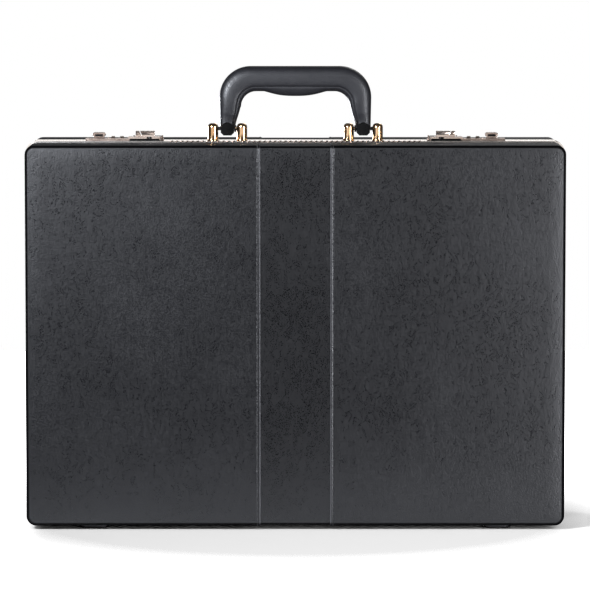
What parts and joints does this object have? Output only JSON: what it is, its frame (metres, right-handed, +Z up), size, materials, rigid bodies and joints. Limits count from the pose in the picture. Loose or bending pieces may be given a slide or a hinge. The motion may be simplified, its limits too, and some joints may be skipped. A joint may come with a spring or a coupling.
{
  "type": "attache case",
  "caption": "Hard-sided leather attaché case with paneled faces, metal rails, swinging handle on posts, combination locks with sprung buttons and hasps, and a stayed hinged lid.",
  "frame": {"origin": "on the floor under the middle of the closed case's box", "axes": "+X along the width, lid facing -Y, +Z up from the hinge edge to the handle"},
  "size_m": [0.46, 0.12, 0.3928],
  "materials": {
    "case_leather": "fine grained charcoal leather, soft sheen",
    "board": "dark stained board",
    "polished_rail": "polished, warm white",
    "lining_fabric": "woven dark lining",
    "organiser_leather": "smooth black",
    "black_feet": "matt black",
    "hinge_brass": "satin",
    "plain_steel": "satin",
    "gold_posts": "polished",
    "lock_bronze": "polished champagne bronze",
    "dial_metal": "satin",
    "lock_case_zinc": "satin",
    "handle_leather": "fine grained black leather, semi-gloss",
    "black_fitting": "gloss black"
  },
  "bodies": {
    "base": {"base_shell": "board", "base_cover_left": "case_leather", "base_cover_middle": "case_leather", "base_cover_right": "case_leather", "base_rail": "polished_rail", "base_lining": "lining_fabric", "base_feet": "black_feet", "base_hinge_leaves": "hinge_brass", "hinge_pins": "plain_steel", "base_stay_studs": "plain_steel", "handle_posts": "gold_posts", "post_nuts": "plain_steel", "handle_pins": "plain_steel", "lock_plate_left": "lock_bronze", "lock_plate_right": "lock_bronze", "lock_case_left": "lock_case_zinc", "lock_case_right": "lock_case_zinc", "dial_shaft_left": "plain_steel", "dial_shaft_right": "plain_steel", "hasp_pin_left": "plain_steel", "hasp_pin_right": "plain_steel", "lock_rivets": "lock_bronze", "slide_spring_left": "plain_steel", "slide_spring_right": "plain_steel"},
    "lid": {"lid_shell": "board", "lid_cover_left": "case_leather", "lid_cover_middle": "case_leather", "lid_cover_right": "case_leather", "lid_rail": "polished_rail", "lid_lining": "lining_fabric", "lid_divider": "organiser_leather", "lid_pocket": "organiser_leather", "lid_pen_loops": "organiser_leather", "lid_feet": "black_feet", "lid_hinge_leaves": "hinge_brass", "strike_left": "lock_bronze", "strike_right": "lock_bronze", "lid_stay_studs": "plain_steel"},
    "handle": {"handle_core": "plain_steel", "handle_cover": "handle_leather", "handle_pad": "handle_leather", "handle_end_left": "black_fitting", "handle_end_right": "black_fitting"},
    "slide_left": {"slide_button_left": "lock_bronze"},
    "slide_right": {"slide_button_right": "lock_bronze"},
    "hasp_left": {"hasp_left": "lock_bronze"},
    "hasp_right": {"hasp_right": "lock_bronze"},
    "base_stay_left": {"base_stay_left": "plain_steel"},
    "base_stay_right": {"base_stay_right": "plain_steel"},
    "lid_stay_left": {"lid_stay_left": "plain_steel"},
    "lid_stay_right": {"lid_stay_right": "plain_steel"},
    "dial_left_1": {"dial_left_1": "dial_metal"},
    "dial_left_2": {"dial_left_2": "dial_metal"},
    "dial_left_3": {"dial_left_3": "dial_metal"},
    "dial_right_1": {"dial_right_1": "dial_metal"},
    "dial_right_2": {"dial_right_2": "dial_metal"},
    "dial_right_3": {"dial_right_3": "dial_metal"}
  },
  "joints": [
    {"name": "lid_hinge", "type": "hinge", "parent": "base", "child": "lid", "pos_m": [0, -0.011, 0.0025], "axis": [1, 0, 0], "range_deg": [0, 95]},
    {"name": "handle_swing", "type": "hinge", "parent": "base", "child": "handle", "pos_m": [0, -0.0055, 0.3392], "axis": [1, 0, 0], "range_deg": [-90, 90]},
    {"name": "slide_left_push", "type": "slide", "parent": "base", "child": "slide_left", "axis": [-1, 0, 0], "range_m": [0, 0.004], "stiffness_N_per_m": 250, "springref_m": -0.003, "deforming": ["slide_spring_left"]},
    {"name": "slide_right_push", "type": "slide", "parent": "base", "child": "slide_right", "axis": [1, 0, 0], "range_m": [0, 0.004], "stiffness_N_per_m": 250, "springref_m": -0.003, "deforming": ["slide_spring_right"]},
    {"name": "hasp_left_lift", "type": "hinge", "parent": "base", "child": "hasp_left", "pos_m": [-0.1263, -0.0024, 0.3317], "axis": [-1, 0, 0], "range_deg": [0, 75]},
    {"name": "hasp_right_lift", "type": "hinge", "parent": "base", "child": "hasp_right", "pos_m": [0.1263, -0.0024, 0.3317], "axis": [-1, 0, 0], "range_deg": [0, 75]},
    {"name": "dial_left_1_turn", "type": "hinge", "parent": "base", "child": "dial_left_1", "pos_m": [-0.1411, -0.0055, 0.3285], "axis": [1, 0, 0], "continuous": true},
    {"name": "dial_left_2_turn", "type": "hinge", "parent": "base", "child": "dial_left_2", "pos_m": [-0.1487, -0.0055, 0.3285], "axis": [1, 0, 0], "continuous": true},
    {"name": "dial_left_3_turn", "type": "hinge", "parent": "base", "child": "dial_left_3", "pos_m": [-0.1563, -0.0055, 0.3285], "axis": [1, 0, 0], "continuous": true},
    {"name": "dial_right_1_turn", "type": "hinge", "parent": "base", "child": "dial_right_1", "pos_m": [0.1411, -0.0055, 0.3285], "axis": [1, 0, 0], "continuous": true},
    {"name": "dial_right_2_turn", "type": "hinge", "parent": "base", "child": "dial_right_2", "pos_m": [0.1487, -0.0055, 0.3285], "axis": [1, 0, 0], "continuous": true},
    {"name": "dial_right_3_turn", "type": "hinge", "parent": "base", "child": "dial_right_3", "pos_m": [0.1563, -0.0055, 0.3285], "axis": [1, 0, 0], "continuous": true},
    {"name": "base_stay_left_fold", "type": "hinge", "parent": "base", "child": "base_stay_left", "pos_m": [-0.2194, -0.003, 0.1125], "axis": [-1, 0, 0], "range_deg": [0, 38]},
    {"name": "lid_stay_left_fold", "type": "hinge", "parent": "lid", "child": "lid_stay_left", "pos_m": [-0.221, -0.019, 0.1125], "axis": [1, 0, 0], "range_deg": [0, 38]},
    {"name": "base_stay_right_fold", "type": "hinge", "parent": "base", "child": "base_stay_right", "pos_m": [0.2194, -0.003, 0.1125], "axis": [-1, 0, 0], "range_deg": [0, 38]},
    {"name": "lid_stay_right_fold", "type": "hinge", "parent": "lid", "child": "lid_stay_right", "pos_m": [0.221, -0.019, 0.1125], "axis": [1, 0, 0], "range_deg": [0, 38]}
  ],
  "couplings": [
    {"joint": "base_stay_left_fold", "follows": "lid_hinge", "ratio": 0.39151},
    {"joint": "lid_stay_left_fold", "follows": "lid_hinge", "ratio": 0.39151},
    {"joint": "base_stay_right_fold", "follows": "lid_hinge", "ratio": 0.39151},
    {"joint": "lid_stay_right_fold", "follows": "lid_hinge", "ratio": 0.39151}
  ]
}
